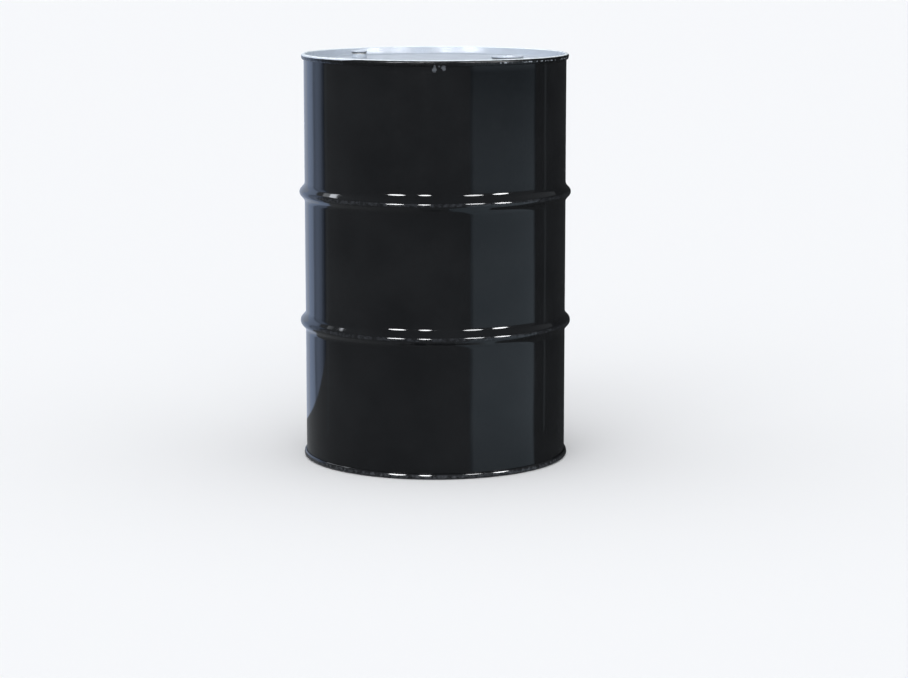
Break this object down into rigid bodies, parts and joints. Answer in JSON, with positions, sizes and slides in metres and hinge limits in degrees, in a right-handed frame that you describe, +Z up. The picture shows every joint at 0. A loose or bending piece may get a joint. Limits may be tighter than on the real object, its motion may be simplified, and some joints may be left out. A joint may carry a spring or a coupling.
{
  "type": "steel oil drum",
  "caption": "Closed-head cylindrical steel drum with rolling hoops, double-seamed heads and a screw-plugged filling hole and vent in the top head.",
  "frame": {"origin": "centre of the circle of the bottom chime that the drum stands on", "axes": "+Z up along the drum's axis; the vent is at 146.5 degrees and the filling hole at 326.5 degrees, counted from +X towards +Y"},
  "size_m": [0.597, 0.597, 0.889],
  "materials": {
    "body_enamel": "gloss",
    "head_enamel": "gloss",
    "seam_compound": "matte",
    "plated_flange": "satin",
    "plated_plug": "satin",
    "gasket_rubber": "matte"
  },
  "bodies": {
    "drum": {"body_shell": "body_enamel", "top_head": "head_enamel", "bottom_head": "body_enamel", "top_seam_compound": "seam_compound", "bottom_seam_compound": "seam_compound", "bung_flange": "plated_flange", "bung_flange_gasket": "gasket_rubber", "vent_flange": "plated_flange", "vent_flange_gasket": "gasket_rubber"},
    "bung_seal": {"bung_plug_gasket": "gasket_rubber"},
    "bung_stopper": {"bung_plug": "plated_plug"},
    "vent_seal": {"vent_plug_gasket": "gasket_rubber"},
    "vent_stopper": {"vent_plug": "plated_plug"}
  },
  "joints": [
    {"name": "bung_lift", "type": "slide", "parent": "drum", "child": "bung_seal", "axis": [0, 0, 1], "range_m": [0, 0.01326]},
    {"name": "bung_turn", "type": "hinge", "parent": "bung_seal", "child": "bung_stopper", "pos_m": [0.15594, -0.10321, 0.871], "axis": [0, 0, 1], "range_deg": [0, 2160]},
    {"name": "vent_lift", "type": "slide", "parent": "drum", "child": "vent_seal", "axis": [0, 0, 1], "range_m": [0, 0.01089]},
    {"name": "vent_turn", "type": "hinge", "parent": "vent_seal", "child": "vent_stopper", "pos_m": [-0.16978, 0.11237, 0.871], "axis": [0, 0, 1], "range_deg": [0, 2160]}
  ],
  "couplings": [
    {"joint": "bung_lift", "follows": "bung_turn", "m_per_rad": 0.00035152},
    {"joint": "vent_lift", "follows": "vent_turn", "m_per_rad": 0.00028875}
  ]
}
